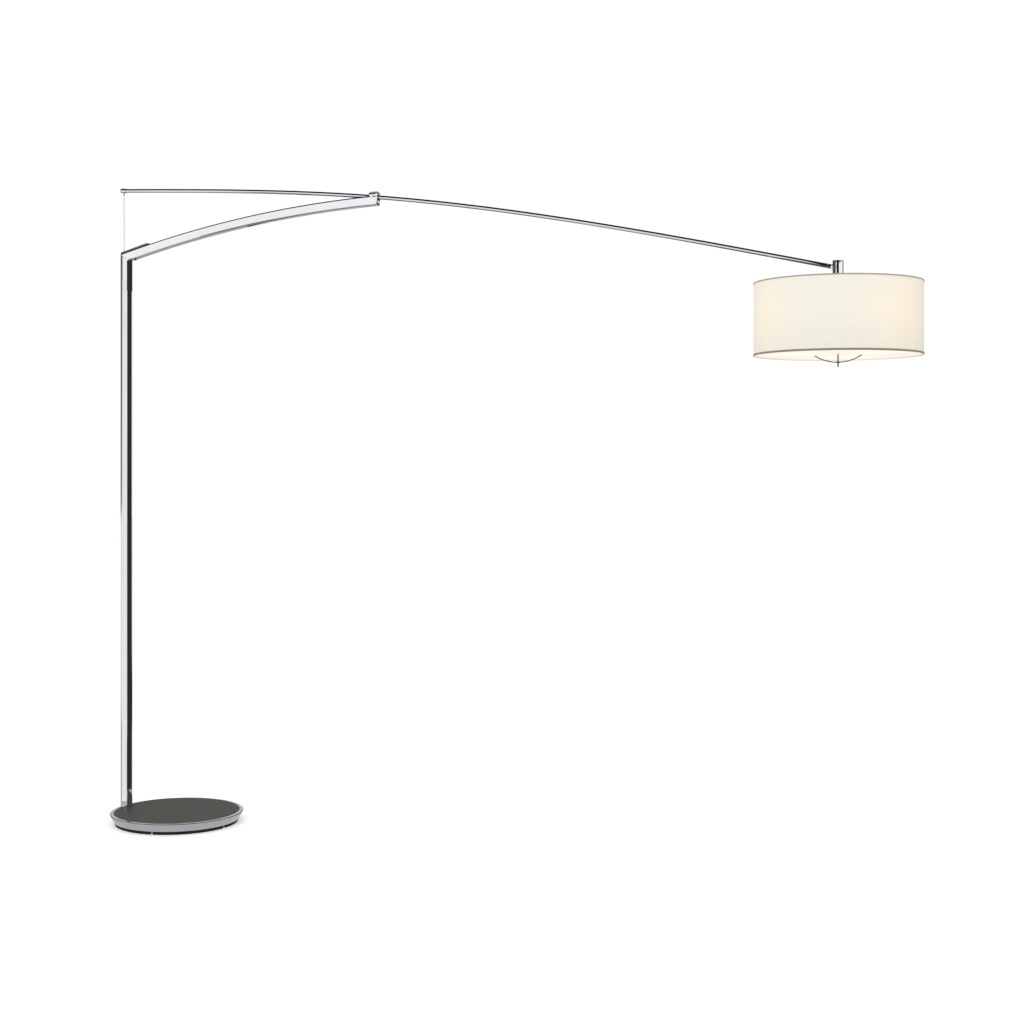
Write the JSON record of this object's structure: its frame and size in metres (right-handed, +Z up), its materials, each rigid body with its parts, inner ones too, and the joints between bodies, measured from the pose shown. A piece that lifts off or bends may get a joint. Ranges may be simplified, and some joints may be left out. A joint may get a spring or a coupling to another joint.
{
  "type": "adjustable arm floor lamp",
  "caption": "Floor lamp with a round weighted base, a square post and curved arm, and a long pivoting boom that carries a drum shade against a sliding counterweight.",
  "frame": {"origin": "centre of the base, on the floor", "axes": "+Z up, +X from the post towards the shade in the plane of the arm, +Y to the rear"},
  "size_m": [2.6382, 0.4824, 2.1136],
  "materials": {
    "chrome": "polished chrome plate",
    "satin_chrome": "chrome plate, slightly satin",
    "dark_metal": "dark olive-grey metallic lacquer",
    "steel": "bare steel",
    "cast_iron": "rough cast iron",
    "cover": "dark grey grained leather",
    "black_rubber": "matt black rubber",
    "clear_rubber": "clear nylon",
    "nylon": "white nylon",
    "lead": "black rubber sheath",
    "shade_fabric": "cream woven fabric, lit from inside",
    "shade_trim": "taupe woven tape",
    "opal": "opal acrylic, lit from above",
    "porcelain": "white glazed lampholder",
    "bulb": "frosted glass, warm white"
  },
  "bodies": {
    "mast": {"base_ballast": "cast_iron", "base_rim": "satin_chrome", "base_cover": "cover", "base_pad": "black_rubber", "base_glide_1": "clear_rubber", "base_glide_2": "clear_rubber", "base_glide_3": "clear_rubber", "base_glide_4": "clear_rubber", "base_glide_5": "clear_rubber", "post_bolt": "steel", "post_bolt_washer": "steel", "lead_gland": "black_rubber", "post_foot_block": "steel", "post_tube": "chrome", "arm_tube": "chrome", "cable_guide_plate": "dark_metal", "guide_plate_screw_1": "steel", "guide_plate_screw_2": "steel", "cable_bush": "nylon", "pivot_fork": "chrome", "fork_cap": "chrome", "pivot_screw_front": "chrome", "pivot_screw_rear": "chrome", "mast_lead": "lead"},
    "boom": {"boom_tube": "chrome", "pivot_collar": "chrome", "boom_end_cap": "chrome", "cable_ferrule": "steel", "boom_cable": "steel", "boom_tip": "chrome", "boom_lead": "lead"},
    "head": {"head_tube": "chrome", "head_cap": "chrome", "head_pin": "chrome", "head_lead": "lead", "drop_stem": "chrome", "lamp_hub": "porcelain", "lampholder_1": "porcelain", "lampholder_2": "porcelain", "lampholder_3": "porcelain", "bulb_1": "bulb", "bulb_2": "bulb", "bulb_3": "bulb", "shade_spider": "steel", "shade_drum": "shade_fabric", "shade_top_trim": "shade_trim", "shade_bottom_trim": "shade_trim", "shade_lower_ring": "steel", "diffuser": "opal", "tie_rod": "steel", "diffuser_bow": "chrome", "finial": "dark_metal"},
    "counterweight": {"counterweight_bar": "cast_iron", "upper_slider": "nylon", "lower_slider": "nylon", "cable_anchor": "steel", "weight_cable": "steel"}
  },
  "joints": [
    {"name": "boom_tilt", "type": "hinge", "parent": "mast", "child": "boom", "pos_m": [0.717, 0, 2.03389], "axis": [0, 1, 0], "range_deg": [-6, 12], "deforming": ["boom_cable"]},
    {"name": "shade_level", "type": "hinge", "parent": "boom", "child": "head", "pos_m": [2.179, 0, 1.7496], "axis": [0, 1, 0], "range_deg": [-14, 8]},
    {"name": "counterweight_slide", "type": "slide", "parent": "mast", "child": "counterweight", "axis": [0, 0, 1], "range_m": [-0.1, 0.2], "deforming": ["weight_cable"]}
  ],
  "couplings": [
    {"joint": "shade_level", "follows": "boom_tilt", "ratio": -1},
    {"joint": "counterweight_slide", "follows": "boom_tilt", "m_per_rad": 0.905}
  ]
}
